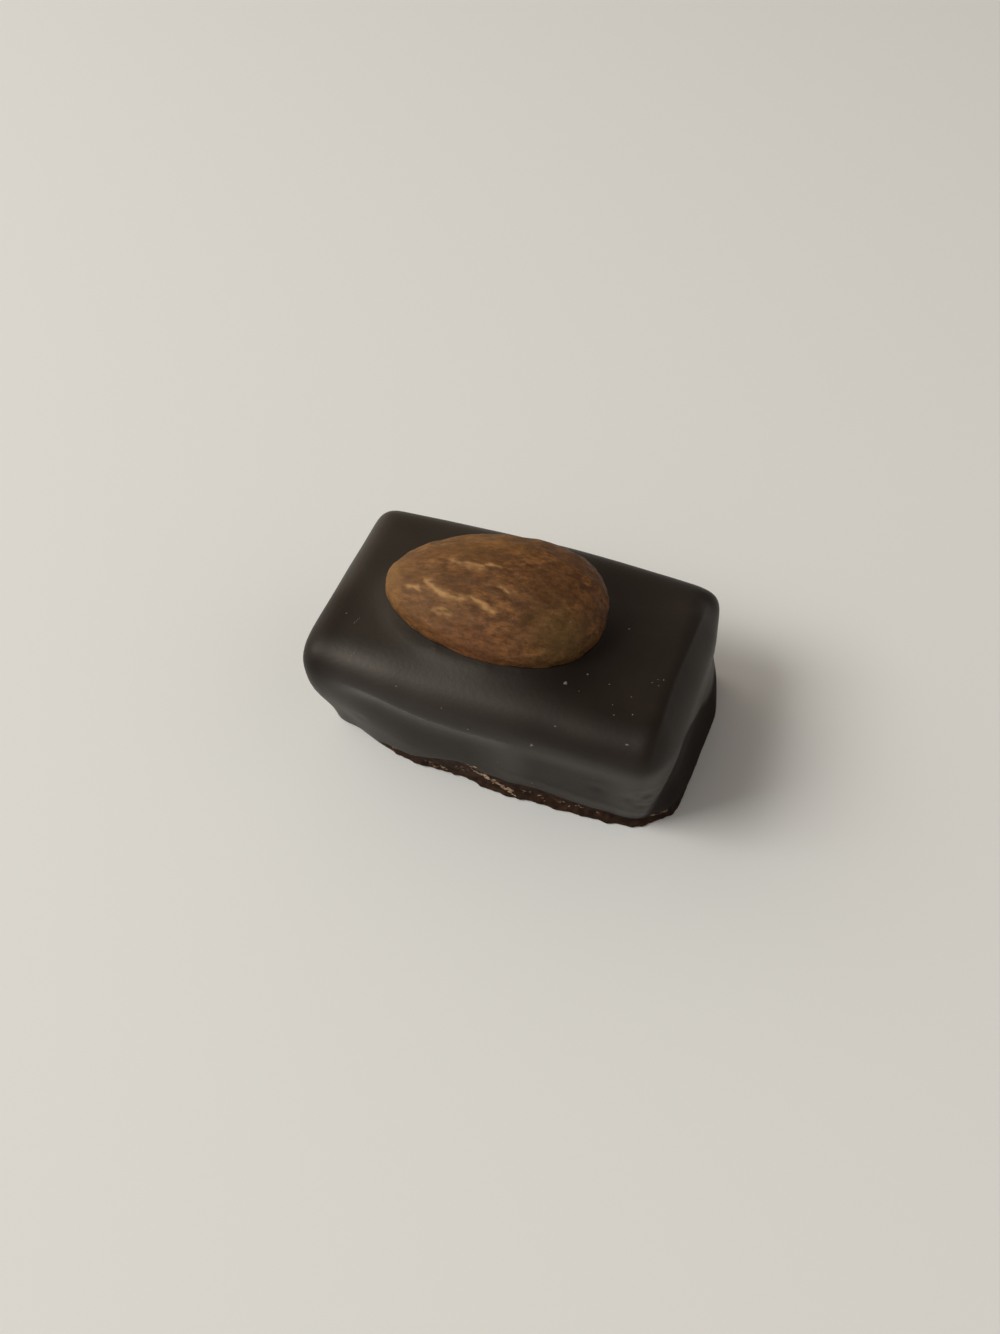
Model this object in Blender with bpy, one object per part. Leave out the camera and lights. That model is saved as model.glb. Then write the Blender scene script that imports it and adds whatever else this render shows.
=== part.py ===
"""Dipped chocolate praline: an oblong sweet in dark chocolate with one whole almond pressed into its top.

The long side lies along X and the sweet stands on Z = 0. Two pieces touch: the chocolate, whose walls roll
over into the top and spread into a ragged foot, and the almond, which sits in a socket in the chocolate.
"""

import math

import bmesh
import bpy
from mathutils import Euler, Matrix, Vector, noise

MM = 0.001

# Chocolate, without its foot
LENGTH = 37.4 * MM
WIDTH = 22.0 * MM
HEIGHT = 14.9 * MM
ROWS_LONG = 42
ROWS_WIDE = 25
ROWS_HIGH = 22
ROW_CROWDING = 1.35

# Roll of each wall into the top, as a distance inwards and a distance down
ROLL_LEFT = (2.6 * MM, 3.0 * MM)
ROLL_RIGHT = (2.5 * MM, 2.9 * MM)
ROLL_BACK = (2.6 * MM, 2.8 * MM)
ROLL_FRONT = (3.9 * MM, 3.4 * MM)
ROLL_FRONT_SWELL = (0.9 * MM, 0.7 * MM)
ROLL_FRONT_SWELL_AT = -1.0 * MM
ROLL_FRONT_SWELL_REACH = 8.5 * MM
CORNER_POWER = 2.6
CORNER_POWER_FRONT_RIGHT = 1.7
CORNER_POWER_BACK_RIGHT = 3.6
ROLL_POWER = 2.0
ROLL_POWER_RIGHT = 1.25

# Foot and lean, as distances outwards from the plain wall. Most change along the wall, as points in
# millimetres (along Y or X, outwards), and a minus sign cuts a corner back.
FOOT_RIGHT = ((-11.0, -0.2), (-8.0, 1.0), (-4.5, 0.9), (0.0, 1.0), (5.0, 1.5), (11.0, 0.8))
BOW_RIGHT = ((-11.0, -0.2), (-6.5, 0.3), (-1.0, 0.6), (5.0, 0.6), (11.0, -0.1))
FOOT_RIGHT_LEVELS = (0.3 * MM, 7.0 * MM)
FOOT_FRONT = (
    (-18.7, -2.6),
    (-15.5, -2.5),
    (-12.0, -1.15),
    (-7.5, -0.1),
    (-1.6, 0.1),
    (3.7, 0.7),
    (10.9, 0.6),
    (18.7, 0.0),
)
FOOT_FRONT_LEVELS = (0.5 * MM, 5.0 * MM)
LEAN_FRONT = ((-18.7, 0.6), (-14.0, 0.9), (-9.0, 1.35), (-5.0, 1.6), (0.0, 1.7), (6.0, 1.7), (18.7, 2.1))
LEAN_STARTS = 1.5 * MM
FOOT_BACK = 0.5 * MM
FOOT_LEFT = ((-11.0, -0.8), (-8.0, -0.6), (-4.0, -0.3), (11.0, -0.3))
FOOT_LEVELS = (0.5 * MM, 9.0 * MM)
CORNER_CUT_LEVELS = (0.0, 11.0 * MM)
BULGE_LEFT = -0.1 * MM
BULGE_LEFT_AT = -11.0 * MM
BULGE_LEFT_REACH = 4.5 * MM
BOW_BACK = 0.55 * MM
TUCK_FRONT = 0.3 * MM
TUCK_HEIGHT = 1.7 * MM
FOOT_WANDER = 0.22 * MM
FOOT_WANDER_SIZE = 5.5 * MM
WALL_WANDER_SHARE = 0.35
RIM_HEIGHT = 0.55 * MM
RIM_TEETH = 0.16 * MM
RIM_TOOTH_SIZE = 1.1 * MM

# Fold where the front wall turns under, as points in millimetres (along X, up Z)
FOLD_LINE = (
    (-18.7, 12.3),
    (-10.3, 11.8),
    (-5.7, 10.9),
    (-1.1, 10.6),
    (3.6, 10.9),
    (6.3, 11.3),
    (18.7, 11.5),
)

# Top
DOME = 0.35 * MM
DROOP_BACK_RIGHT = 0.9 * MM
MENISCUS_HEIGHT = 0.45 * MM
MENISCUS_REACH = 0.9 * MM
TOP_WANDER = 0.08 * MM
TOP_WANDER_SIZE = 6.0 * MM

# Almond
ALMOND_LENGTH = 21.8 * MM
ALMOND_WIDTH = 14.2 * MM
ALMOND_THICKNESS = 8.5 * MM
ALMOND_AT = (-1.7 * MM, -0.8 * MM)
ALMOND_RISE = 1.9 * MM
ALMOND_YAW = 4.2
ALMOND_LEAN = 8.0
ALMOND_SIDES = 56
ALMOND_RINGS = 32
SUNK_SHARE = (0.92, 0.88)
WRINKLE_DEPTH = 0.13 * MM
SOCKET_GAP = 0.38 * MM
SOCKET_SIDES = 36
SOCKET_RINGS = 20


def share_between(start, end, value):
    """0 at start and before it, 1 at end and past it, and a straight rise between them."""
    return min(1.0, max(0.0, (value - start) / (end - start)))


def ease(start, end, value):
    """0 at start and before it, 1 at end and past it, and a smooth rise between them."""
    share = share_between(start, end, value)
    return share * share * (3.0 - 2.0 * share)


def hump(value, centre, reach):
    """1 at centre, falling to nothing some two reaches away."""
    return math.exp(-(((value - centre) / reach) ** 2))


def wander(x, y, z, scale, seed):
    """Smooth noise from about -1 to 1, whose features are about scale across."""
    return noise.noise(Vector((x / scale + seed, y / scale - seed, z / scale + 0.37 * seed)))


def along_line(points, x):
    """Value at x, in metres, of a line of (place, value) points in millimetres."""
    for (start, low), (end, high) in zip(points, points[1:]):
        if x <= end * MM:
            return (low + (high - low) * share_between(start, end, x / MM)) * MM
    return points[-1][1] * MM


def grid_box(name, size, rows):
    """A box standing on Z = 0 with a grid on its five upper sides and one face as its base."""
    mesh = bmesh.new()
    bmesh.ops.create_cube(mesh, size=1.0)
    for axis, count in enumerate(rows):
        other = [k for k in range(3) if k != axis]
        edges = [
            edge
            for edge in mesh.edges
            if all(abs(edge.verts[0].co[k] - edge.verts[1].co[k]) < 1e-6 for k in other)
        ]
        bmesh.ops.subdivide_edges(mesh, edges=edges, cuts=count - 1, use_grid_fill=True)
    for vertex in mesh.verts:
        x, y, z = vertex.co
        level = (z + 0.5) ** ROW_CROWDING if z > -0.4999 else 0.0
        vertex.co = (x * size[0], y * size[1], level * size[2])
    base = [face for face in mesh.faces if all(v.co.z < 1e-7 for v in face.verts)]
    bmesh.ops.dissolve_faces(mesh, faces=base, use_verts=False)
    return mesh


def front_roll(x):
    """Roll of the front wall, which swells into a broad soft shoulder in the middle."""
    swell = hump(x, ROLL_FRONT_SWELL_AT, ROLL_FRONT_SWELL_REACH)
    return tuple(plain + swell * more for plain, more in zip(ROLL_FRONT, ROLL_FRONT_SWELL))


def rounded(x, y, z):
    """Moves a point of the plain box onto the rolled form. Returns the point and its outward direction."""
    roll_x = ROLL_RIGHT if x > 0 else ROLL_LEFT
    roll_y = ROLL_BACK if y > 0 else front_roll(x)
    core_x = max(-LENGTH / 2 + roll_x[0], min(LENGTH / 2 - roll_x[0], x))
    core_y = max(-WIDTH / 2 + roll_y[0], min(WIDTH / 2 - roll_y[0], y))
    out_x = (x - core_x) / roll_x[0]
    out_y = (y - core_y) / roll_y[0]
    share_x = abs(out_x) + 1e-9
    share_y = abs(out_y) + 1e-9
    drop = (share_x * roll_x[1] + share_y * roll_y[1]) / (share_x + share_y)
    core_z = min(z, HEIGHT - drop)
    out_z = (z - core_z) / drop
    corner = CORNER_POWER
    if x > 0:
        corner = CORNER_POWER_BACK_RIGHT if y > 0 else CORNER_POWER_FRONT_RIGHT
    flat = (abs(out_x) ** corner + abs(out_y) ** corner) ** (1.0 / corner)
    to_right = max(0.0, out_x) / (share_x + share_y)
    power = ROLL_POWER + (ROLL_POWER_RIGHT - ROLL_POWER) * to_right
    reach = (flat**power + abs(out_z) ** power) ** (1.0 / power)
    out = Vector((out_x, out_y, out_z)) / max(1e-9, reach)
    place = Vector((core_x + out.x * roll_x[0], core_y + out.y * roll_y[0], core_z + out.z * drop))
    return place, out


def lean_of_walls(place):
    """Sideways pull of a whole side at its height: the feet, the fold, the cut corner and the bows."""
    x, y, z = place
    low = 1.0 - ease(*FOOT_LEVELS, z)
    tall = 1.0 - ease(*CORNER_CUT_LEVELS, z)
    to_right = ease(0.2 * LENGTH, 0.5 * LENGTH, x)
    to_left = ease(-0.2 * LENGTH, -0.5 * LENGTH, x)
    to_back = ease(0.0, 0.5 * WIDTH, y)
    to_front = ease(0.0, -0.5 * WIDTH, y)
    foot_front = along_line(FOOT_FRONT, x)

    low_right = 1.0 - ease(*FOOT_RIGHT_LEVELS, z)
    right = to_right * (along_line(FOOT_RIGHT, y) * low_right + along_line(BOW_RIGHT, y))
    left = to_left * (along_line(FOOT_LEFT, y) * low + BULGE_LEFT * hump(y, BULGE_LEFT_AT, BULGE_LEFT_REACH))
    back = to_back * (FOOT_BACK * low + BOW_BACK * (1.0 - min(1.0, (2.0 * x / LENGTH) ** 2)))
    low_front = 1.0 - ease(*FOOT_FRONT_LEVELS, z)
    front = to_front * foot_front * (low_front if foot_front > 0.0 else tall)
    front += to_front * along_line(LEAN_FRONT, x) * share_between(LEAN_STARTS, along_line(FOLD_LINE, x), z)
    return Vector((right - left, back - front, 0.0))


def wall_offset(place, out):
    """How far the wall stands out from its plain form there: tuck, uneven foot and rim."""
    x, y, z = place
    flat = Vector((out.x, out.y, 0.0))
    if flat.length < 1e-6:
        return flat
    flat.normalize()
    front = max(0.0, -flat.y) ** 2
    low = 1.0 - ease(*FOOT_LEVELS, z)
    tuck = 1.0 - ease(0.0, TUCK_HEIGHT, z)
    uneven = WALL_WANDER_SHARE + (1.0 - WALL_WANDER_SHARE) * low
    rim = 1.0 - ease(0.0, RIM_HEIGHT, z)

    offset = -TUCK_FRONT * front * tuck
    offset += FOOT_WANDER * uneven * wander(x, y, 0.4 * z, FOOT_WANDER_SIZE, 3.1)
    offset += RIM_TEETH * rim * wander(x, y, z, RIM_TOOTH_SIZE, 7.7)
    return flat * offset


def almond_frame():
    """Where the almond lies: its length along its own X, its broad faces up and down."""
    turn = Euler((math.radians(ALMOND_LEAN), 0.0, math.radians(ALMOND_YAW)), "XYZ").to_matrix().to_4x4()
    return Matrix.Translation((*ALMOND_AT, HEIGHT + ALMOND_RISE)) @ turn


def almond_girth(along):
    """Share of the full girth at along, from 0 at the pointed end to 1 at the blunt end."""
    power = 2.0 + 0.2 * ease(0.4, 0.9, along)
    full = (1.0 - abs(2.0 * along - 1.0) ** power) ** (1.0 / power)
    return full * (0.85 + 0.28 * along)


def top_offset(place, out):
    """How far the top stands above the plain box there."""
    x, y, _ = place
    across = (2.0 * x / LENGTH, 2.0 * y / WIDTH)
    offset = DOME * (1.0 - min(1.0, across[0] ** 2)) * (1.0 - min(1.0, across[1] ** 2))
    offset -= DROOP_BACK_RIGHT * ease(0.1, 1.0, across[0]) * ease(-0.2, 1.0, across[1])
    near = almond_frame().inverted() @ Vector((x, y, HEIGHT))
    half_long = 0.5 * SUNK_SHARE[0] * ALMOND_LENGTH
    half_wide = 0.5 * SUNK_SHARE[1] * ALMOND_WIDTH
    away = (math.hypot(near.x / half_long, near.y / half_wide) - 1.0) * half_wide
    offset += MENISCUS_HEIGHT * math.exp(-max(0.0, away) / MENISCUS_REACH)
    offset += TOP_WANDER * wander(x, y, 0.0, TOP_WANDER_SIZE, 1.9)
    return offset * max(0.0, out.z)


def shade_by_angle(mesh, degrees):
    """Smooth shading, with edges sharper than this angle left crisp."""
    mesh.shade_smooth()
    mesh.set_sharp_from_angle(angle=math.radians(degrees))


def material(name, colour, roughness):
    """A plain coated food surface of one colour."""
    made = bpy.data.materials.new(name)
    made.use_nodes = True
    shader = made.node_tree.nodes["Principled BSDF"]
    shader.inputs["Base Color"].default_value = (*colour, 1.0)
    shader.inputs["Roughness"].default_value = roughness
    shader.inputs["Metallic"].default_value = 0.0
    return made


def add_object(name, mesh_data, surface=None):
    """Puts a mesh in the scene under this name, with its material."""
    made = bpy.data.objects.new(name, mesh_data)
    bpy.context.scene.collection.objects.link(made)
    if surface:
        mesh_data.materials.append(surface)
    return made


def chocolate_mesh():
    """The dipped oblong with its rolled edges, fold and foot, before the almond's socket is cut."""
    mesh = grid_box("chocolate", (LENGTH, WIDTH, HEIGHT), (ROWS_LONG, ROWS_WIDE, ROWS_HIGH))
    for vertex in mesh.verts:
        place, out = rounded(*vertex.co)
        moved = place + lean_of_walls(place) + wall_offset(place, out)
        moved.z += top_offset(place, out)
        if vertex.co.z < 1e-7:
            moved.z = 0.0
        vertex.co = moved
    bmesh.ops.recalc_face_normals(mesh, faces=mesh.faces)
    data = bpy.data.meshes.new("chocolate")
    mesh.to_mesh(data)
    mesh.free()
    shade_by_angle(data, 45.0)
    return data


def wrinkle(angle, along):
    """Height of the skin's lengthwise wrinkles, in shares of the full depth. They fade at both ends."""
    drift = 0.9 * math.sin(5.0 * along + 0.6)
    ridges = 0.5 * math.sin(9.0 * angle + 2.0 * drift) + 0.3 * math.sin(14.0 * angle - 3.0 * along + 1.3)
    lumps = 0.6 * noise.noise(Vector((3.0 * math.cos(angle), 3.0 * math.sin(angle), 5.0 * along)))
    return (ridges + lumps) * math.sin(math.pi * along)


def almond_mesh(name, sides, rings, skin):
    """An almond along X from its tip to its blunt end, grown outwards by skin(angle, along)."""
    mesh = bmesh.new()
    turns = [2.0 * math.pi * k / sides for k in range(sides)]
    loops = []
    for ring in range(1, rings):
        along = 0.5 - 0.5 * math.cos(math.pi * ring / rings)
        girth = almond_girth(along)
        loop = []
        for angle in turns:
            grow = skin(angle, along)
            across = (0.5 * ALMOND_WIDTH * girth + grow) * math.cos(angle)
            up = (0.5 * ALMOND_THICKNESS * girth + grow) * math.sin(angle)
            length = (along - 0.5) * (ALMOND_LENGTH + 2.0 * grow)
            loop.append(mesh.verts.new((length, across, up)))
        loops.append(loop)
    tip = mesh.verts.new((-0.5 * ALMOND_LENGTH - skin(0.0, 0.0), 0.0, 0.0))
    end = mesh.verts.new((0.5 * ALMOND_LENGTH + skin(0.0, 1.0), 0.0, 0.0))
    for k in range(sides):
        after = (k + 1) % sides
        mesh.faces.new((tip, loops[0][after], loops[0][k]))
        mesh.faces.new((end, loops[-1][k], loops[-1][after]))
        for first, second in zip(loops, loops[1:]):
            mesh.faces.new((first[k], first[after], second[after], second[k]))
    bmesh.ops.recalc_face_normals(mesh, faces=mesh.faces)
    mesh.transform(almond_frame())
    data = bpy.data.meshes.new(name)
    mesh.to_mesh(data)
    mesh.free()
    shade_by_angle(data, 60.0)
    return data


def cut_socket(chocolate):
    """Cuts the almond's shape, a little larger all round, out of the top of the chocolate."""
    cutter_mesh = almond_mesh("socket", SOCKET_SIDES, SOCKET_RINGS, lambda angle, along: SOCKET_GAP)
    cutter = add_object("socket_cutter", cutter_mesh)
    cutter.hide_render = True
    cutter.display_type = "WIRE"
    cut = chocolate.modifiers.new("socket", "BOOLEAN")
    cut.operation = "DIFFERENCE"
    cut.solver = "EXACT"
    cut.object = cutter


def stand_on_origin(objects):
    """Moves the sweet so that the middle of its base lies on the origin."""
    corners = [vertex.co for made in objects for vertex in made.data.vertices]
    middle_x = (min(c.x for c in corners) + max(c.x for c in corners)) / 2
    middle_y = (min(c.y for c in corners) + max(c.y for c in corners)) / 2
    for made in bpy.context.scene.objects:
        made.data.transform(Matrix.Translation((-middle_x, -middle_y, 0.0)))


def main():
    for old in list(bpy.data.objects):
        bpy.data.objects.remove(old)
    dark = material("dark_chocolate", (0.022, 0.014, 0.011), 0.38)
    skin = material("almond_skin", (0.20, 0.085, 0.032), 0.62)
    chocolate = add_object("chocolate", chocolate_mesh(), dark)
    almond = add_object(
        "almond",
        almond_mesh("almond", ALMOND_SIDES, ALMOND_RINGS, lambda a, t: WRINKLE_DEPTH * wrinkle(a, t)),
        skin,
    )
    cut_socket(chocolate)
    stand_on_origin([chocolate, almond])


main()
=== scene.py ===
"""Looks of a dark chocolate praline with a whole almond pressed into its top. Metres, +Z up."""

import math

import bpy
import numpy as np
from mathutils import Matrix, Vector, noise
from mathutils.bvhtree import BVHTree


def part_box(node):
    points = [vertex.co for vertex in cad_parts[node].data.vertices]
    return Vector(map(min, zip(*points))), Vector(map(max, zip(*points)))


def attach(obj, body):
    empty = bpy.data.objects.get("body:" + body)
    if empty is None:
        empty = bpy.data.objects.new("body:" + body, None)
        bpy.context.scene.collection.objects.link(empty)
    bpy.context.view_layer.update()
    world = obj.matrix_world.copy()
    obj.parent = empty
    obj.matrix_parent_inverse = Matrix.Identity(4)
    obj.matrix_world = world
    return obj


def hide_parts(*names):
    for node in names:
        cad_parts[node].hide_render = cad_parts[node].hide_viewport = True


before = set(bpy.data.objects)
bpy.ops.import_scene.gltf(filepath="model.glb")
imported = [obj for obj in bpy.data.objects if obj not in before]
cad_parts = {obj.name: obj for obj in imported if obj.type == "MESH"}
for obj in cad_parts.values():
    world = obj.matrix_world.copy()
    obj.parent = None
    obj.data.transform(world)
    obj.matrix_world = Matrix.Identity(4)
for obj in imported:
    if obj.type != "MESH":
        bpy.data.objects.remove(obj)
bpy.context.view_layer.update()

# The coat: dark chocolate, poured over the sweet while warm. It rolled over the edges, slid down the front in
# a soft fold, and set with a satin skin over a rough foot. It is one closed body, which also fills the narrow
# gap round the almond, since melted chocolate has no gap to the nut that it holds.
MM = 0.001


def take_only(piece):
    """Makes this piece the only selected one, and the active one."""
    bpy.ops.object.select_all(action="DESELECT")
    piece.select_set(True)
    bpy.context.view_layer.objects.active = piece


def merged_copy(node, name):
    """A copy of a CAD node whose loose triangles are merged into one skin of four-sided faces."""
    piece = bpy.data.objects.new(name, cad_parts[node].data.copy())
    bpy.context.scene.collection.objects.link(piece)
    piece.data.materials.clear()
    take_only(piece)
    bpy.ops.object.mode_set(mode="EDIT")
    bpy.ops.mesh.select_all(action="SELECT")
    bpy.ops.mesh.remove_doubles(threshold=0.001 * MM)
    bpy.ops.mesh.tris_convert_to_quads()
    bpy.ops.object.mode_set(mode="OBJECT")
    return piece


coat = merged_copy("chocolate", "chocolate_coat")
nut = merged_copy("almond", "nut_form")
nut_tree = BVHTree.FromObject(nut, bpy.context.evaluated_depsgraph_get())
middle = (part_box("almond")[0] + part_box("almond")[1]) / 2 / MM


def vertex_places(piece):
    """Places and outward directions of the vertices, as arrays, with places in millimetres."""
    count = len(piece.data.vertices)
    places = np.empty(3 * count)
    piece.data.vertices.foreach_get("co", places)
    outward = np.empty(3 * count)
    piece.data.vertices.foreach_get("normal", outward)
    return places.reshape(-1, 3) / MM, outward.reshape(-1, 3)


def gap_to_nut(place):
    """Distance from a place to the almond, in millimetres."""
    return nut_tree.find_nearest(Vector(place) * MM)[3] / MM


def apply_modifier(piece, kind, **settings):
    """Adds a modifier with these settings and applies it."""
    take_only(piece)
    bpy.ops.object.modifier_add(type=kind)
    modifier = piece.modifiers[-1]
    for setting, value in settings.items():
        setattr(modifier, setting, value)
    bpy.ops.object.modifier_apply(modifier=modifier.name)


# The narrow gap is filled with a swollen nut, cut off level with the socket's rim, and all is made one skin
RIM_ABOVE = 14.5
RIM_GAP = 0.6
SOCKET_FILL = 0.9 * MM
COAT_VOXEL = 0.185 * MM
COAT_SMOOTHING = 10
places, outward = vertex_places(coat)
on_top = (outward[:, 2] > 0.3) & (places[:, 2] > RIM_ABOVE)
rim = places[[k for k in np.nonzero(on_top)[0] if gap_to_nut(places[k]) < RIM_GAP]]
slope_x, slope_y, height = np.linalg.lstsq(np.c_[rim[:, :2], np.ones(len(rim))], rim[:, 2], rcond=None)[0]
apply_modifier(nut, "DISPLACE", strength=SOCKET_FILL, mid_level=0.0)
bpy.ops.object.mode_set(mode="EDIT")
bpy.ops.mesh.select_all(action="SELECT")
bpy.ops.mesh.bisect(
    plane_co=(0.0, 0.0, height * MM),
    plane_no=(-slope_x, -slope_y, 1.0),
    use_fill=True,
    clear_outer=True,
)
bpy.ops.object.mode_set(mode="OBJECT")
apply_modifier(coat, "SUBSURF", levels=2, render_levels=2)
nut.select_set(True)
bpy.ops.object.join()
apply_modifier(coat, "REMESH", mode="VOXEL", voxel_size=COAT_VOXEL)
apply_modifier(coat, "SMOOTH", factor=0.5, iterations=COAT_SMOOTHING)


def move_vertices(piece, places):
    """Puts the vertices at these places, in millimetres."""
    piece.data.vertices.foreach_set("co", (places * MM).ravel())
    piece.data.update()


def rise(start, end, value):
    """0 at start and before it, 1 at end and past it, and a smooth rise between them."""
    share = np.clip((value - start) / (end - start), 0.0, 1.0)
    return share * share * (3.0 - 2.0 * share)


# The ring of chocolate that crept a little way up the nut, with a shallow valley round it
TOP_ABOVE = 13.8
TOP_FADE = 0.9
SMOOTHED_REACH = 2.2
SMOOTHED_FADE = 1.2
SMOOTHED_TIMES = 60
MENISCUS_RISE = 0.50
MENISCUS_REACH = 0.9
VALLEY_DROP = 0.15
VALLEY_REACH = 2.5


def top_gaps():
    """Each vertex of the coat's top, by number, with its distance to the almond."""
    tops = np.nonzero((places[:, 2] > TOP_ABOVE) & (outward[:, 2] > 0.0))[0]
    return [(k, gap_to_nut(places[k])) for k in tops]


near_nut = coat.vertex_groups.new(name="near_the_nut")
places, outward = vertex_places(coat)
for k, gap in top_gaps():
    if gap < SMOOTHED_REACH:
        near_nut.add([int(k)], min(1.0, (SMOOTHED_REACH - gap) / SMOOTHED_FADE), "REPLACE")
apply_modifier(coat, "SMOOTH", factor=0.5, iterations=SMOOTHED_TIMES, vertex_group="near_the_nut")
places, outward = vertex_places(coat)
for k, gap in top_gaps():
    change = MENISCUS_RISE * math.exp(-gap / MENISCUS_REACH) - VALLEY_DROP * math.exp(-gap / VALLEY_REACH)
    places[k][2] += change * rise(TOP_ABOVE, TOP_ABOVE + TOP_FADE, places[k][2])
move_vertices(coat, places)


def span(value, start, full, fading, end):
    """1 from full to fading, 0 before start and past end, and smooth between them."""
    return rise(start, full, value) * rise(end, fading, value)


def smooth_line(points, at):
    """Values of a smooth line through these (place, value) points at each place."""
    where, values = np.array(points).T
    dense = np.linspace(where[0], where[-1], 400)
    blur = np.hanning(41)
    line = np.pad(np.interp(dense, where, values), 20, mode="edge")
    return np.interp(at, dense, np.convolve(line, blur / blur.sum(), mode="valid"))


# The lip of the fold on the front, which hangs over a short hollow. From here on, x and y are measured from
# the almond's middle. A line on the front is points of x and height, and one on the right, of y and height.
FOLD_LINE = (
    (-17.0, 12.3),
    (-8.6, 11.8),
    (-4.0, 10.9),
    (0.6, 10.6),
    (5.3, 10.9),
    (8.0, 11.3),
    (20.0, 11.5),
)
LIP_SPAN = (-13.5, -7.5, 1.0, 7.0)
LIP_HOLLOW = 0.8
LIP_REACH = 1.1
HOLLOW_FADE = (7.5, 0.8)
places, outward = vertex_places(coat)
x, y, z = (places - [middle[0], middle[1], 0.0]).T
front = np.clip(-outward[:, 1] * 1.6 - 0.2, 0.0, 1.0) * (y < -5.0)
below_fold = smooth_line(FOLD_LINE, x) - z
hollow = (1.0 - np.exp(-np.clip(below_fold, 0.0, None) / LIP_REACH)) * rise(*HOLLOW_FADE, below_fold)
places[:, 1] += LIP_HOLLOW * front * span(x, *LIP_SPAN) * hollow

# The crisp line where the top turns down into the right side, as points of y and x
SIDE_LINE = ((-13.0, 18.5), (-4.0, 18.4), (3.0, 18.9), (8.0, 19.2))
SIDE_SPAN = (-13.5, -11.0, 6.0, 10.0)
CREST_HEIGHT = 0.32
CREST_REACH_INWARDS = 1.8
CREST_REACH_OUTWARDS = 0.65
past = x - smooth_line(SIDE_LINE, y)
crest = np.exp(np.minimum(past, 0.0) / CREST_REACH_INWARDS - np.maximum(past, 0.0) / CREST_REACH_OUTWARDS)
crest *= np.clip(outward[:, 2] * 1.6 - 0.4, 0.0, 1.0) * span(y, *SIDE_SPAN)
places[:, 2] += CREST_HEIGHT * crest
move_vertices(coat, places)


def wander(places, size, seed):
    """Smooth noise from about -1 to 1 at each place, with features of about this size in millimetres."""
    shift = Vector((seed, -1.7 * seed, 0.6 * seed))
    return np.array([noise.noise(Vector(place) / size + shift) for place in places])


def hump(value, centre, reach):
    """1 at the centre, falling to nothing some two reaches away."""
    return np.exp(-(((value - centre) / reach) ** 2))


# The foot: the smooth coat ends above the table in a crisp edge, and a rough dark strip shows below it. The
# strip is set back and grained, and it has small teeth where it meets the table.
FOOT_EDGE = (
    (-10.0, 1.0),
    (-6.7, 1.9),
    (-4.5, 2.2),
    (-3.0, 3.0),
    (-1.4, 3.6),
    (0.0, 3.9),
    (1.6, 3.5),
    (3.9, 3.0),
    (8.3, 2.4),
    (14.4, 2.1),
    (17.5, 1.6),
    (21.0, 1.0),
)
EDGE_WANDER = 0.25
FOOT_SET_BACK = 0.32
SET_BACK_REACH = 0.35
GRAIN_DEPTH = 0.13
TOOTH_HEIGHT = 0.26
TOOTH_FADE = (1.1, 0.2)
EDGE_TUCK = 0.36
TUCK_RANGE = (-2.0, 0.2)
TABLE_FADE = (0.0, 0.9)
GRAINY_BELOW = 5.5
TORN_FROM_LEFT = (-10.5, -8.0)
TORN_FROM_BACK = (-5.0, -8.5)
places, outward = vertex_places(coat)
x, y, z = (places - [middle[0], middle[1], 0.0]).T
sideways = np.hypot(outward[:, 0], outward[:, 1])
flat = outward[:, :2] / np.maximum(1e-6, sideways)[:, None]
upright = rise(0.35, 0.7, sideways)
edge = smooth_line(FOOT_EDGE, x) + EDGE_WANDER * wander(places * [1.0, 1.0, 0.3], size=1.6, seed=2.0)
below_edge = edge - z
low = np.nonzero((z < GRAINY_BELOW) & (upright > 0.0))[0]
grain = np.zeros(len(z))
grain[low] = 0.6 * wander(places[low], size=0.8, seed=5.0) + 0.4 * wander(places[low], size=0.42, seed=6.0)
teeth = np.zeros(len(z))
teeth[low] = wander(places[low] * [1.0, 1.0, 0.25], size=0.75, seed=9.0)
off_table = rise(*TABLE_FADE, z)
torn = rise(*TORN_FROM_LEFT, x) * rise(*TORN_FROM_BACK, y) * upright
push = -FOOT_SET_BACK * (1.0 - np.exp(-np.maximum(below_edge, 0.0) / SET_BACK_REACH)) * off_table * torn
push += GRAIN_DEPTH * grain * torn * rise(0.0, 0.5, below_edge)
push += TOOTH_HEIGHT * np.clip(teeth + 0.25, 0.0, 1.0) * torn * rise(*TOOTH_FADE, z)
tucked = rise(*TUCK_RANGE, below_edge) * rise(2.0, 7.0, x) * rise(-5.0, -7.0, y)
push -= EDGE_TUCK * tucked * upright * off_table

# Dents and a crumple where the coat was touched before it set. A dent is x, z, its reach and its depth.
DENTS = (
    (-11.0, 5.4, 0.8, 0.07),
    (14.0, 6.9, 0.8, 0.10),
    (17.2, 6.4, 0.8, 0.12),
    (18.7, 7.6, 0.6, 0.16),
    (18.2, 5.2, 0.6, 0.10),
)
CRUMPLE_X = 18.7
CRUMPLE_Z = 6.6
CRUMPLE_REACH = 1.9
CRUMPLE_DEPTH = 0.022
CRUMPLE_RIPPLES = 5.5
on_front = upright * rise(-4.0, -7.0, y)
for at_x, at_z, reach, dent in DENTS:
    push -= dent * hump(np.hypot(x - at_x, z - at_z), 0.0, reach) * on_front
from_crumple = np.hypot(x - CRUMPLE_X, z - CRUMPLE_Z)
ripples = np.cos(CRUMPLE_RIPPLES * from_crumple) * hump(from_crumple, 0.0, CRUMPLE_REACH)
push += CRUMPLE_DEPTH * ripples * on_front
places[:, :2] += flat * push[:, None]
places[:, 2] = np.maximum(0.0, places[:, 2])
move_vertices(coat, places)
apply_modifier(coat, "SMOOTH", factor=0.5, iterations=1)


def paint(piece, name, values):
    """Keeps a number per vertex under this name, for the material to read."""
    piece.data.attributes.new(name, "FLOAT", "POINT").data.foreach_set("value", values)


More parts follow.
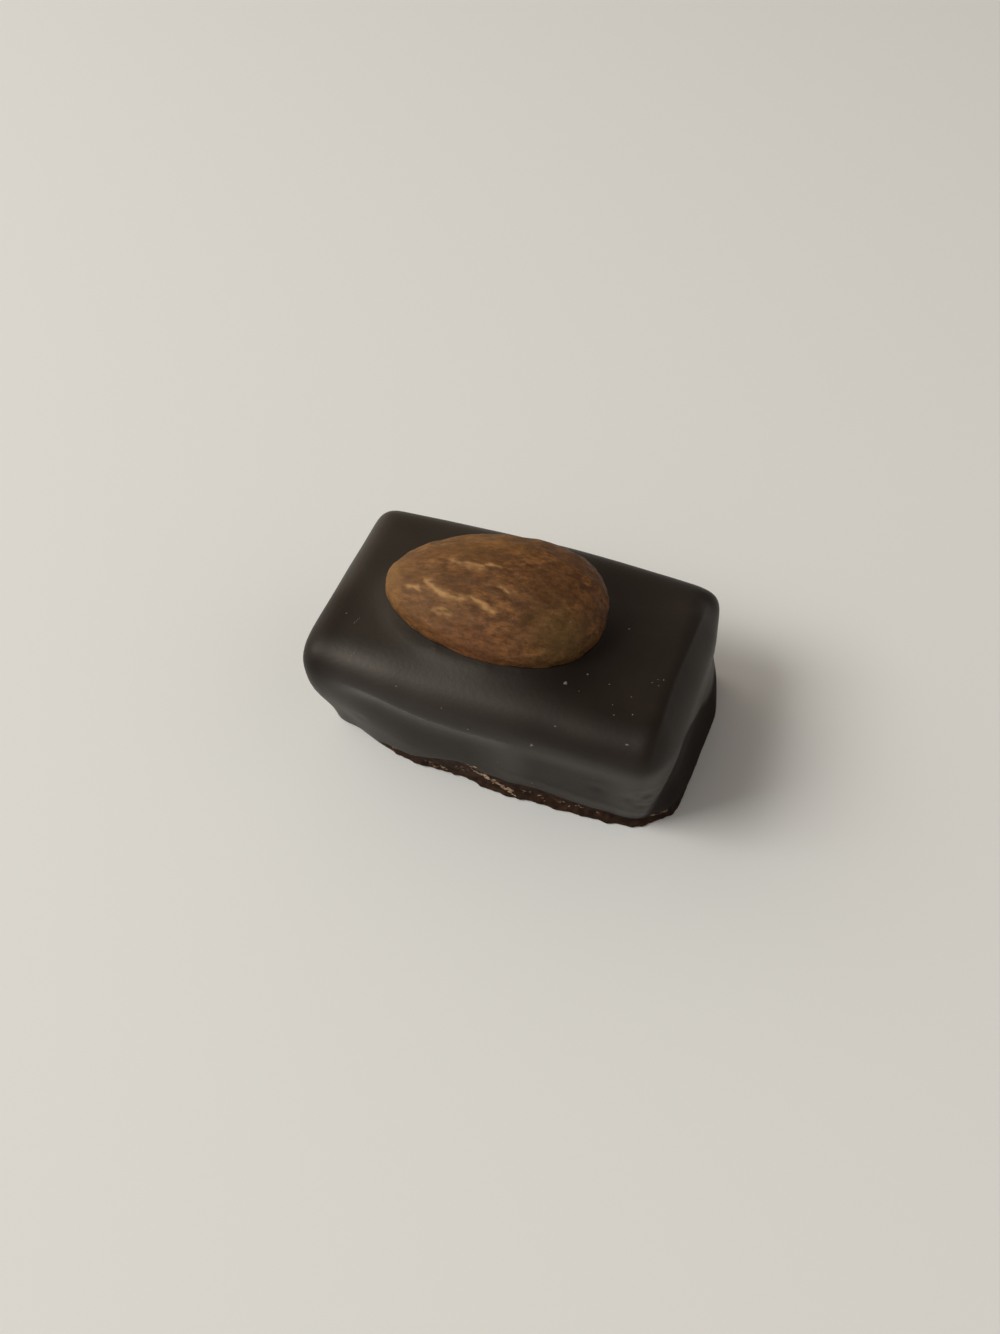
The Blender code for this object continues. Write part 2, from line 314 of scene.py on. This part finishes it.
# The torn strip on the front, and the patch low on the right side that is painted darker and duller: painted
# shade
RIGHT_SHADE_EDGE = (
    (-10.5, 4.0),
    (-8.7, 10.9),
    (-7.1, 12.0),
    (-5.0, 11.4),
    (-2.3, 9.2),
    (3.9, 5.0),
    (8.0, 4.0),
    (13.0, 2.6),
)
RIGHT_SHADE_ROUGHNESS = 0.75
facing_right = rise(0.75, 0.92, flat[:, 0] + 0.3 * rise(8.0, 1.0, z))
right_shade = rise(-0.6, 0.6, smooth_line(RIGHT_SHADE_EDGE, y) - z) * facing_right * upright
foot = rise(-0.1, 0.15, below_edge) * torn
paint(coat, "foot", foot)
paint(coat, "right_shade", right_shade)
paint(coat, "rough", np.maximum(foot, RIGHT_SHADE_ROUGHNESS * right_shade))
# Where the reflections are painted warmer: low on the front, below the fold
paint(coat, "low_front", rise(-0.5, 1.5, below_fold) * front)

# How strongly the skin shines, where 1 is plain satin. Its right half, its left end and two patches of the
# wall below the fold are duller, and the middle of the shoulder and the fold's lip are brighter.
RIGHT_HALF_SHINE = -0.32
LEFT_END_SHINE = -0.6
LEFT_WALL_SHINE = -0.3
RIGHT_WALL_SHINE = -0.52
LIP_SHINE = 1.0
SHOULDER_SHINE = 0.16
shoulder = rise(11.5, 12.5, z)
shine = 1.0 + RIGHT_HALF_SHINE * rise(1.0, 9.0, x) * shoulder
shine += LEFT_END_SHINE * rise(-11.5, -15.5, x) * rise(8.0, 11.0, z) * rise(2.0, -4.0, y)
shine += LEFT_WALL_SHINE * rise(5.0, 0.0, x) * rise(1.5, 4.0, below_fold) * front
shine += RIGHT_WALL_SHINE * span(x, 5.0, 8.0, 14.0, 17.0) * span(below_fold, 1.0, 3.0, 6.0, 9.5) * front
shine += LIP_SHINE * hump(below_fold, 0.8, 0.9) * span(x, -14.0, -9.0, 1.0, 6.0) * front
shine += SHOULDER_SHINE * hump(x, -4.0, 6.0) * shoulder * rise(-5.0, -6.5, y)
paint(coat, "shine", shine)


def shade_round(piece):
    """Smooth shading all over, with any old split normals removed."""
    take_only(piece)
    bpy.ops.mesh.customdata_custom_splitnormals_clear()
    bpy.ops.object.shade_smooth()


shade_round(coat)

# The flat base, as one face
BASE_BELOW = 0.06 * MM
take_only(coat)
bpy.ops.object.mode_set(mode="EDIT")
bpy.ops.mesh.select_mode(type="FACE")
bpy.ops.object.mode_set(mode="OBJECT")
for face in coat.data.polygons:
    face.select = face.normal.z < -0.99 and face.center.z < BASE_BELOW
bpy.ops.object.mode_set(mode="EDIT")
bpy.ops.mesh.dissolve_faces()
bpy.ops.object.mode_set(mode="OBJECT")


def node_material(name, colour, roughness, specular):
    """A material of one colour, with its node tree and its shader."""
    made = bpy.data.materials.new(name)
    made.use_nodes = True
    tree = made.node_tree
    shader = tree.nodes["Principled BSDF"]
    shader.inputs["Base Color"].default_value = (*colour, 1.0)
    shader.inputs["Roughness"].default_value = roughness
    shader.inputs["Specular IOR Level"].default_value = specular
    return made, tree, shader


def object_noise(tree, scale, detail):
    """Noise in the object's own metres. Returns its value output."""
    place = tree.nodes.new("ShaderNodeTexCoord")
    texture = tree.nodes.new("ShaderNodeTexNoise")
    texture.inputs["Scale"].default_value = scale
    texture.inputs["Detail"].default_value = detail
    tree.links.new(place.outputs["Object"], texture.inputs["Vector"])
    return texture.outputs["Fac"]


def ranged(tree, value, low=0.0, high=1.0, start=0.0, end=1.0):
    """The value from start to end spread over low to high, and held at both ends."""
    spread = tree.nodes.new("ShaderNodeMapRange")
    spread.inputs["From Min"].default_value = start
    spread.inputs["From Max"].default_value = end
    spread.inputs["To Min"].default_value = low
    spread.inputs["To Max"].default_value = high
    tree.links.new(value, spread.inputs["Value"])
    return spread.outputs["Result"]


def painted(tree, name):
    """The number kept at each vertex under this name."""
    attribute = tree.nodes.new("ShaderNodeAttribute")
    attribute.attribute_name = name
    return attribute.outputs["Fac"]


def blended(tree, share, first, second):
    """A colour from first to second by share. Each is a colour or a colour output."""
    mix = tree.nodes.new("ShaderNodeMix")
    mix.data_type = "RGBA"
    tree.links.new(share, mix.inputs["Factor"])
    for socket, colour in ((mix.inputs[6], first), (mix.inputs[7], second)):
        if isinstance(colour, tuple):
            socket.default_value = (*colour, 1.0)
        else:
            tree.links.new(colour, socket)
    return mix.outputs[2]


def mixed(tree, share, first, second):
    """A value from the first value output to the second plain value by share."""
    mix = tree.nodes.new("ShaderNodeMix")
    tree.links.new(share, mix.inputs[0])
    tree.links.new(first, mix.inputs[2])
    mix.inputs[3].default_value = second
    return mix.outputs[0]


def add_bump(tree, shader, height, distance):
    """Fine relief from a height output, no deeper than distance."""
    bump = tree.nodes.new("ShaderNodeBump")
    bump.inputs["Distance"].default_value = distance
    tree.links.new(height, bump.inputs["Height"])
    tree.links.new(bump.outputs["Normal"], shader.inputs["Normal"])


# The chocolate's finish: satin, with a faint bloom in broad patches, crumbly where it is torn, painted darker
# on the right side as painted shade, and with a painted warm reflection low on the front
SATIN = ((0.0084, 0.0054, 0.0042), (0.0130, 0.0090, 0.0072))
# The colours of the right side's painted shade, darker than the satin
RIGHT_SHADE_COLOURS = ((0.0085, 0.0050, 0.0036), (0.0120, 0.0074, 0.0052))
TORN = ((0.0110, 0.0052, 0.0034), (0.0420, 0.0190, 0.0110))
SHEEN = ((1.0, 0.95, 0.89), (1.0, 0.885, 0.775))
SATIN_ROUGHNESS = 0.47
TORN_ROUGHNESS = 0.85
# The right side's painted shade also shines less
RIGHT_SHADE_SPECULAR = 0.12
TORN_SPECULAR = 0.25
chocolate, tree, shader = node_material("dark_chocolate", (0.009, 0.0062, 0.0048), SATIN_ROUGHNESS, 0.5)
bloom = ranged(tree, object_noise(tree, scale=260.0, detail=4.0), start=0.35, end=0.75)
crumbly = ranged(tree, object_noise(tree, scale=1400.0, detail=3.0), start=0.35, end=0.7)
foot_share = painted(tree, "foot")
right_shade_share = painted(tree, "right_shade")
skin_colour = blended(tree, right_shade_share, blended(tree, bloom, *SATIN), blended(tree, bloom, *RIGHT_SHADE_COLOURS))
colour = blended(tree, foot_share, skin_colour, blended(tree, crumbly, *TORN))
tree.links.new(colour, shader.inputs["Base Color"])
roughness = ranged(tree, painted(tree, "rough"), low=SATIN_ROUGHNESS, high=TORN_ROUGHNESS)
tree.links.new(roughness, shader.inputs["Roughness"])
skin_shine = ranged(tree, painted(tree, "shine"), end=2.0)
skin_specular = mixed(tree, right_shade_share, skin_shine, RIGHT_SHADE_SPECULAR)
specular = mixed(tree, foot_share, skin_specular, TORN_SPECULAR)
tree.links.new(specular, shader.inputs["Specular IOR Level"])
# Reflections are tinted warm, and warmer still low on the front: a painted warm reflection
sheen = blended(tree, painted(tree, "low_front"), *SHEEN)
tree.links.new(sheen, shader.inputs["Specular Tint"])
add_bump(tree, shader, object_noise(tree, scale=2200.0, detail=3.0), distance=0.012 * MM)
coat.data.materials.append(chocolate)
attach(coat, "root")
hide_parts("chocolate")

# The almond: a whole kernel in its skin, dry and matt, with soft wrinkles that run along it from the tip. The
# skin is a mottled orange-brown, yellowish at the tip, and painted pale along a few ridges on top: painted
# highlights.
ALMOND_YAW = math.radians(4.2)
ALMOND_LEAN = math.radians(8.0)
WRINKLE_DEPTH = 0.11
kernel = merged_copy("almond", "almond_kernel")
apply_modifier(kernel, "SUBSURF", levels=2, render_levels=2)
places, outward = vertex_places(kernel)
from_middle = places - np.array(middle)
cos_yaw, sin_yaw = math.cos(ALMOND_YAW), math.sin(ALMOND_YAW)
cos_lean, sin_lean = math.cos(ALMOND_LEAN), math.sin(ALMOND_LEAN)
along = from_middle @ [cos_yaw, sin_yaw, 0.0]
across = from_middle @ [-sin_yaw * cos_lean, cos_yaw * cos_lean, sin_lean]
up = from_middle @ [sin_yaw * sin_lean, -cos_yaw * sin_lean, cos_lean]
# Marks of the skin are long at the tip and shorter towards the blunt end
skin_place = np.c_[0.45 * along + 0.012 * along**2, across, up]
wrinkles = wander(skin_place, size=1.0, seed=3.0) + 0.6 * wander(skin_place, size=0.5, seed=4.0)
move_vertices(kernel, places + outward * (WRINKLE_DEPTH * wrinkles)[:, None])
shade_round(kernel)

# The ridges on top that are painted pale, as painted highlights. Each is a row of places along it, as x, y
# and half its width.
PALE_STREAKS = (
    (
        (-5.8, 0.3, 0.10),
        (-4.8, 0.1, 0.20),
        (-3.9, -0.2, 0.22),
        (-2.6, -0.4, 0.28),
        (-1.5, -0.6, 0.42),
        (-0.8, -0.1, 0.28),
        (0.5, -0.1, 0.16),
    ),
    (
        (-6.4, -2.2, 0.12),
        (-5.4, -2.9, 0.30),
        (-4.6, -3.5, 0.30),
        (-3.6, -3.8, 0.26),
        (-1.6, -3.9, 0.22),
        (-1.0, -3.6, 0.24),
        (-0.3, -3.8, 0.26),
        (0.5, -4.2, 0.26),
        (1.4, -4.4, 0.15),
    ),
    ((-4.4, -4.9, 0.14), (-3.6, -5.1, 0.26), (-2.6, -5.2, 0.20)),
    ((-8.0, -3.0, 0.14), (-6.4, -3.4, 0.24)),
    ((1.0, -2.0, 0.12), (2.2, -2.4, 0.22), (3.0, -2.3, 0.12)),
)
STREAK_RAGGED = 0.22
ragged = STREAK_RAGGED * wander(skin_place, size=0.3, seed=6.0)
streak = np.zeros(len(along))
for line in PALE_STREAKS:
    for (start_x, start_y, start_width), (end_x, end_y, end_width) in zip(line, line[1:]):
        run = np.array([end_x - start_x, end_y - start_y])
        offset = from_middle[:, :2] - [start_x, start_y]
        share = np.clip(offset @ run / (run @ run), 0.0, 1.0)
        distance = np.hypot(*(offset - share[:, None] * run).T)
        width = start_width + (end_width - start_width) * share
        streak = np.maximum(streak, hump(np.maximum(0.0, distance + ragged), 0.0, width))
streak *= (up > 0.0) * (0.2 + 0.8 * rise(-0.4, 0.3, wander(skin_place, size=0.28, seed=8.0)))
paint(kernel, "pale", streak)

# Where the skin is yellowish, olive and reddish
at_tip = 0.35 * rise(-7.5, -11.0, along + 1.5 * wander(skin_place, size=1.2, seed=5.0))
to_the_tip = 0.14 * rise(3.0, -8.0, along)
at_the_back = 0.28 * hump(along, -2.0, 5.0) * hump(across, 4.2, 2.2)
paint(kernel, "yellow", at_tip + to_the_tip + at_the_back)
paint(kernel, "olive", 0.55 * hump(along, 7.5, 3.2) * hump(across, -4.5, 2.6))
paint(kernel, "ruddy", 0.6 * hump(along, -2.0, 6.0) * hump(across, -6.6, 1.5))
kept_place = kernel.data.attributes.new("skin_place", "FLOAT_VECTOR", "POINT")
kept_place.data.foreach_set("vector", skin_place.ravel())


def skin_noise(tree, scale, detail, warp, roughness):
    """Noise in the skin's own directions: along the nut, across it and up."""
    attribute = tree.nodes.new("ShaderNodeAttribute")
    attribute.attribute_name = "skin_place"
    texture = tree.nodes.new("ShaderNodeTexNoise")
    texture.inputs["Scale"].default_value = scale
    texture.inputs["Detail"].default_value = detail
    texture.inputs["Roughness"].default_value = roughness
    texture.inputs["Distortion"].default_value = warp
    tree.links.new(attribute.outputs["Vector"], texture.inputs["Vector"])
    return texture.outputs["Fac"]


# The skin's colours, each laid over the ones before it
STREAKY_BROWN = ((0.065, 0.025, 0.0078), (0.240, 0.106, 0.033))
DARK_PATCH = (0.088, 0.036, 0.0110)
RUDDY = (0.170, 0.062, 0.023)
DARK_VEIN = (0.060, 0.024, 0.0080)
OLIVE = (0.095, 0.062, 0.016)
YELLOW = (0.270, 0.140, 0.037)
PAINTED_RIDGE_HIGHLIGHT = (0.400, 0.225, 0.088)
skin, tree, shader = node_material("almond_skin", (0.125, 0.052, 0.017), 0.62, 0.25)
streaks = skin_noise(tree, scale=1.2, detail=7.0, warp=0.15, roughness=0.68)
veins = skin_noise(tree, scale=2.8, detail=5.0, warp=0.2, roughness=0.62)
patches = skin_noise(tree, scale=0.42, detail=3.0, warp=0.5, roughness=0.55)
fine_relief = skin_noise(tree, scale=2.6, detail=6.0, warp=0.6, roughness=0.6)
streaky = ranged(tree, streaks, start=0.37, end=0.63)
veined = ranged(tree, veins, low=0.35, start=0.38, end=0.56)
patchy = ranged(tree, patches, low=0.45, start=0.40, end=0.58)
colour = blended(tree, patchy, DARK_PATCH, blended(tree, streaky, *STREAKY_BROWN))
colour = blended(tree, painted(tree, "ruddy"), colour, RUDDY)
colour = blended(tree, veined, DARK_VEIN, colour)
colour = blended(tree, painted(tree, "olive"), colour, OLIVE)
colour = blended(tree, painted(tree, "yellow"), colour, YELLOW)
# The painted highlights along the ridges, laid on last
colour = blended(tree, painted(tree, "pale"), colour, PAINTED_RIDGE_HIGHLIGHT)
tree.links.new(colour, shader.inputs["Base Color"])
add_bump(tree, shader, fine_relief, distance=0.08 * MM)
kernel.data.materials.append(skin)
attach(kernel, "root")
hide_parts("almond")

# The crumbs: flakes of the pale filling that were torn off along the foot and stuck there, each half sunk in
# the chocolate. A row is x and z of its start and end on the front, how many there are, and their size.
CRUMB_ROWS = (
    (-3.9, 0.7, -1.6, 0.8, 16, 0.26),
    (0.0, 3.6, 1.7, 3.9, 10, 0.16),
    (0.9, 2.6, 3.0, 2.1, 22, 0.28),
    (2.4, 2.3, 5.5, 0.6, 30, 0.30),
    (-1.0, 1.6, 0.8, 1.9, 8, 0.18),
    (5.6, 1.2, 9.0, 0.8, 8, 0.16),
    (9.5, 1.0, 17.5, 1.0, 14, 0.15),
    (19.4, 1.6, 20.4, 0.9, 9, 0.24),
    (-8.5, 1.0, -4.0, 0.9, 8, 0.16),
)
CRUMB_FORM = (1.5, 0.55, 0.35)
SCATTER_X = 0.15
SCATTER_Z = 0.22
LOWEST_CRUMB = 0.15
FILLING = ((0.11, 0.058, 0.028), (0.40, 0.30, 0.20))
coat_tree = BVHTree.FromObject(coat, bpy.context.evaluated_depsgraph_get())
chance = np.random.default_rng(11)
bpy.ops.mesh.primitive_ico_sphere_add(subdivisions=1, radius=1.0)
pattern = bpy.context.object
grain_shape = [vertex.co.copy() for vertex in pattern.data.vertices]
grain_faces = [tuple(face.vertices) for face in pattern.data.polygons]
bpy.ops.object.delete()


def add_grains(name, spots, form):
    """One piece of many uneven flakes, whose form is their length, width and thickness in sizes. A spot is a
    place on a surface, its normal, the flake's direction and its size, in metres."""
    corners, faces = [], []
    for spot, normal, lengthwise, size in spots:
        faces += [tuple(len(corners) + k for k in face) for face in grain_faces]
        side = normal.cross(lengthwise).normalized()
        axes = (side.cross(normal), side, normal)
        for corner in grain_shape:
            rough = 1.0 + 0.35 * chance.standard_normal()
            reach = sum((axis * half * share for axis, half, share in zip(axes, corner, form)), Vector())
            corners.append(spot + reach * (0.5 * size * rough))
    mesh = bpy.data.meshes.new(name)
    mesh.from_pydata(corners, [], faces)
    piece = bpy.data.objects.new(name, mesh)
    bpy.context.scene.collection.objects.link(piece)
    return piece


def on_front_wall(at_x, at_z):
    """The place and the normal where a line from the front meets the coat, or two times None."""
    return coat_tree.ray_cast(Vector((middle[0] + at_x, -40.0, at_z)) * MM, Vector((0.0, 1.0, 0.0)))[:2]


spots = []
for start_x, start_z, end_x, end_z, count, size in CRUMB_ROWS:
    for _ in range(count):
        share = chance.random()
        at_x = start_x + (end_x - start_x) * share + SCATTER_X * chance.standard_normal()
        at_z = start_z + (end_z - start_z) * share + SCATTER_Z * chance.standard_normal()
        spot, normal = on_front_wall(at_x, max(LOWEST_CRUMB, at_z))
        if spot:
            lengthwise = Vector((1.0, 0.3 * chance.standard_normal(), 0.35 * chance.standard_normal()))
            spots.append((spot, normal, lengthwise, size * MM * (0.5 + chance.random())))
crumbs = add_grains("filling_crumbs", spots, CRUMB_FORM)
cream, tree, shader = node_material("filling_crumbs", (0.30, 0.17, 0.08), 0.7, 0.3)
tint = ranged(tree, object_noise(tree, scale=900.0, detail=2.0), start=0.35, end=0.65)
tree.links.new(blended(tree, tint, *FILLING), shader.inputs["Base Color"])
crumbs.data.materials.append(cream)
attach(crumbs, "root")

# The glints: tiny pale grey specks on the chocolate and the almond that stand for glints on tiny pits, as
# painted glints, and two short scratches that show pale. A speck is x, y and its size on top, and x, z and
# its size on the front. A scratch is a row of tiny specks, given as x and y of both its ends and how many
# there are.
GLINTS_ON_TOP = (
    (12.9, 1.7, 0.22),
    (9.1, -6.7, 0.34),
    (10.7, -5.0, 0.18),
    (10.5, -7.1, 0.15),
    (12.9, -5.4, 0.14),
    (16.6, -4.0, 0.15),
    (17.5, -3.4, 0.17),
    (17.2, -4.2, 0.13),
    (17.0, -3.5, 0.10),
    (15.2, -6.2, 0.16),
    (13.8, -7.6, 0.12),
    (14.2, -8.6, 0.12),
    (15.8, -8.1, 0.15),
    (-13.5, -5.1, 0.16),
    (8.2, -2.8, 0.24),
)
GLINTS_ON_FRONT = (
    (9.4, 13.8, 0.18),
    (16.1, 14.1, 0.34),
    (7.6, 11.6, 0.38),
    (7.4, 3.6, 0.20),
    (-6.1, 13.4, 0.22),
    (1.4, 11.3, 0.18),
    (-1.4, 12.7, 0.13),
    (13.6, 8.8, 0.13),
    (4.0, 6.0, 0.12),
)
SCRATCHES = ((-10.9, -8.9, -11.3, -9.9, 9), (-12.3, -6.1, -12.0, -5.2, 5))
SCRATCH_SPECK = 0.10
SPECK_FORM = (1.15, 0.8, 0.3)
kernel_tree = BVHTree.FromObject(kernel, bpy.context.evaluated_depsgraph_get())


def dropped(at_x, at_y):
    """The highest place at x and y on the sweet, and its normal."""
    start = Vector((middle[0] + at_x, middle[1] + at_y, 40.0)) * MM
    found = [surface.ray_cast(start, Vector((0.0, 0.0, -1.0))) for surface in (kernel_tree, coat_tree)]
    return max((hit for hit in found if hit[0]), key=lambda hit: hit[0].z)[:2]


spots = []
for at_x, at_y, size in GLINTS_ON_TOP:
    spots.append((*dropped(at_x, at_y), Vector((1.0, 0.4, 0.0)), size * MM))
for at_x, at_z, size in GLINTS_ON_FRONT:
    spots.append((*on_front_wall(at_x, at_z), Vector((1.0, 0.0, 0.5)), size * MM))
for start_x, start_y, end_x, end_y, count in SCRATCHES:
    run = Vector((end_x - start_x, end_y - start_y, 0.0))
    for k in range(count):
        share = (k + 0.3 * chance.random()) / count
        spot, normal = dropped(start_x + run.x * share, start_y + run.y * share)
        spots.append((spot, normal, run.normalized(), SCRATCH_SPECK * MM))
glints_and_scratches = add_grains("glints_and_scratches", spots, SPECK_FORM)
grey, tree, shader = node_material("glints_and_scratches", (0.16, 0.146, 0.132), 0.7, 0.3)
glints_and_scratches.data.materials.append(grey)
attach(glints_and_scratches, "root")

# The table: a plain off-white plane under the sweet, wide enough for every view. It belongs to the studio
# and is no part of the sweet.
bpy.ops.mesh.primitive_plane_add(size=3.0)
table = bpy.context.object
table.name = "table"
off_white, tree, shader = node_material("off_white", (0.82, 0.865, 0.90), 0.85, 0.5)
table.data.materials.append(off_white)

# The light: one large soft source from the left, as from a window, and a dim room all round. Each glow of the
# room is its azimuth, elevation and reach in degrees, and its colour.
WINDOW_AZIMUTH = -60.0
WINDOW_ELEVATION = 43.0
WINDOW_DISTANCE = 0.9
WINDOW_SIZE = 0.44
WINDOW_POWER = 4.6
WINDOW_COLOUR = (1.0, 0.95, 0.87)
ROOM_BASE = (0.01, 0.01, 0.01)
ROOM_GLOWS = (
    (180.0, 5.0, 60.0, (0.20, 0.185, 0.18)),
    (220.0, 20.0, 50.0, (0.42, 0.32, 0.21)),
    (-45.0, 35.0, 65.0, (0.40, 0.36, 0.31)),
    (85.0, 25.0, 55.0, (0.46, 0.42, 0.38)),
    (0.0, 20.0, 50.0, (0.17, 0.14, 0.12)),
    (-90.0, 20.0, 50.0, (1.15, 1.04, 0.86)),
    (135.0, 40.0, 45.0, (0.12, 0.08, 0.05)),
)
AIM_FROM_ALMOND = Vector((0.57, -0.34, 0.0)) * MM
AIM_HEIGHT = 7.0 * MM
almond_low, almond_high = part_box("almond")
aim = (almond_low + almond_high) / 2 + AIM_FROM_ALMOND
aim.z = AIM_HEIGHT


def direction(azimuth, elevation):
    """Unit vector towards a place that many degrees round from the front and above the table."""
    round_by, above = math.radians(azimuth), math.radians(elevation)
    return Vector(
        (math.sin(round_by) * math.cos(above), -math.cos(round_by) * math.cos(above), math.sin(above))
    )


def face_the_sweet(thing, away):
    """Turns a light or a camera that stands in this direction from the sweet to look at it."""
    thing.rotation_mode = "QUATERNION"
    thing.rotation_quaternion = (-away).to_track_quat("-Z", "Y")


to_window = direction(WINDOW_AZIMUTH, WINDOW_ELEVATION)
bpy.ops.object.light_add(type="AREA", location=aim + to_window * WINDOW_DISTANCE)
window = bpy.context.object
window.name = "window"
face_the_sweet(window, to_window)
window.data.size = WINDOW_SIZE
window.data.energy = WINDOW_POWER
window.data.color = WINDOW_COLOUR

world = bpy.data.worlds.new("room")
bpy.context.scene.world = world
world.use_nodes = True
room = world.node_tree
sky = room.nodes.new("ShaderNodeTexCoord")


def room_glow(azimuth, elevation, reach, colour):
    """Soft patch of light round a direction, as far as reach in degrees. Returns its colour output."""
    towards = room.nodes.new("ShaderNodeVectorMath")
    towards.operation = "DOT_PRODUCT"
    towards.inputs[1].default_value = direction(azimuth, elevation)
    room.links.new(sky.outputs["Generated"], towards.inputs[0])
    fade = room.nodes.new("ShaderNodeMapRange")
    fade.interpolation_type = "SMOOTHSTEP"
    fade.inputs["From Min"].default_value = math.cos(math.radians(reach))
    fade.inputs["From Max"].default_value = 1.0
    room.links.new(towards.outputs["Value"], fade.inputs["Value"])
    tint = room.nodes.new("ShaderNodeVectorMath")
    tint.operation = "SCALE"
    tint.inputs[0].default_value = colour
    room.links.new(fade.outputs["Result"], tint.inputs["Scale"])
    return tint.outputs["Vector"]


light_so_far = None
for azimuth, elevation, reach, colour in ROOM_GLOWS:
    total = room.nodes.new("ShaderNodeVectorMath")
    total.operation = "ADD"
    if light_so_far:
        room.links.new(light_so_far, total.inputs[0])
    else:
        total.inputs[0].default_value = ROOM_BASE
    room.links.new(room_glow(azimuth, elevation, reach, colour), total.inputs[1])
    light_so_far = total.outputs["Vector"]
room.links.new(light_so_far, room.nodes["Background"].inputs["Color"])
bpy.context.scene.view_settings.view_transform = "Standard"

# The camera: a phone's main lens, a hand's breadth away, looking down on the sweet from the front and a
# little from the right.
CAMERA_AZIMUTH = 19.0
CAMERA_ELEVATION = 50.0
CAMERA_DISTANCE = 114.08 * MM
CAMERA_LENS = 30.14
away = direction(CAMERA_AZIMUTH, CAMERA_ELEVATION)
bpy.ops.object.camera_add(location=aim + away * CAMERA_DISTANCE)
camera = bpy.context.object
face_the_sweet(camera, away)
camera.data.lens = CAMERA_LENS
camera.data.sensor_width = 36.0
camera.data.clip_start = 0.005
camera.data.clip_end = 20.0
bpy.context.scene.camera = camera
